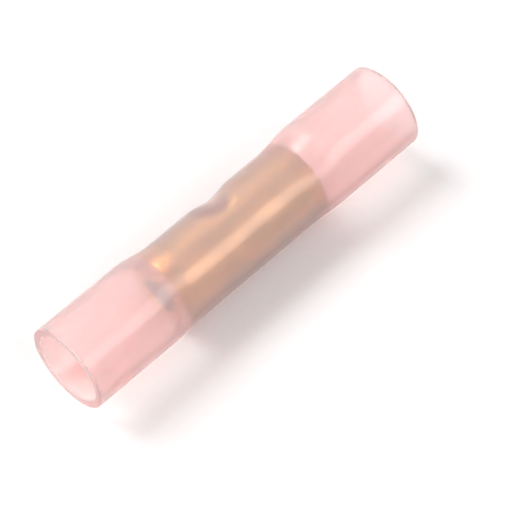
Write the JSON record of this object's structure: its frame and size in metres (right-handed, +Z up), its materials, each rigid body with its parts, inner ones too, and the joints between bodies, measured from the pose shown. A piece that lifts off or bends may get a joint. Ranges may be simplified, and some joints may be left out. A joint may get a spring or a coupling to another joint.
{
  "type": "butt splice connector",
  "caption": "Heat-shrink butt splice connector: a translucent pink sleeve with open ends, shrunk at its middle round a brass crimp barrel with a punched wire stop.",
  "frame": {"origin": "on the surface that the connector lies on, under the middle of its length", "axes": "+X along the connector towards one mouth, +Z up from the surface it lies on"},
  "size_m": [0.0466, 0.01, 0.01],
  "materials": {
    "sleeve": "hazy translucent extruded polyolefin, satin",
    "barrel": "pale drawn brass, dull"
  },
  "bodies": {
    "root": {"sleeve": "sleeve", "barrel": "barrel"}
  },
  "joints": []
}
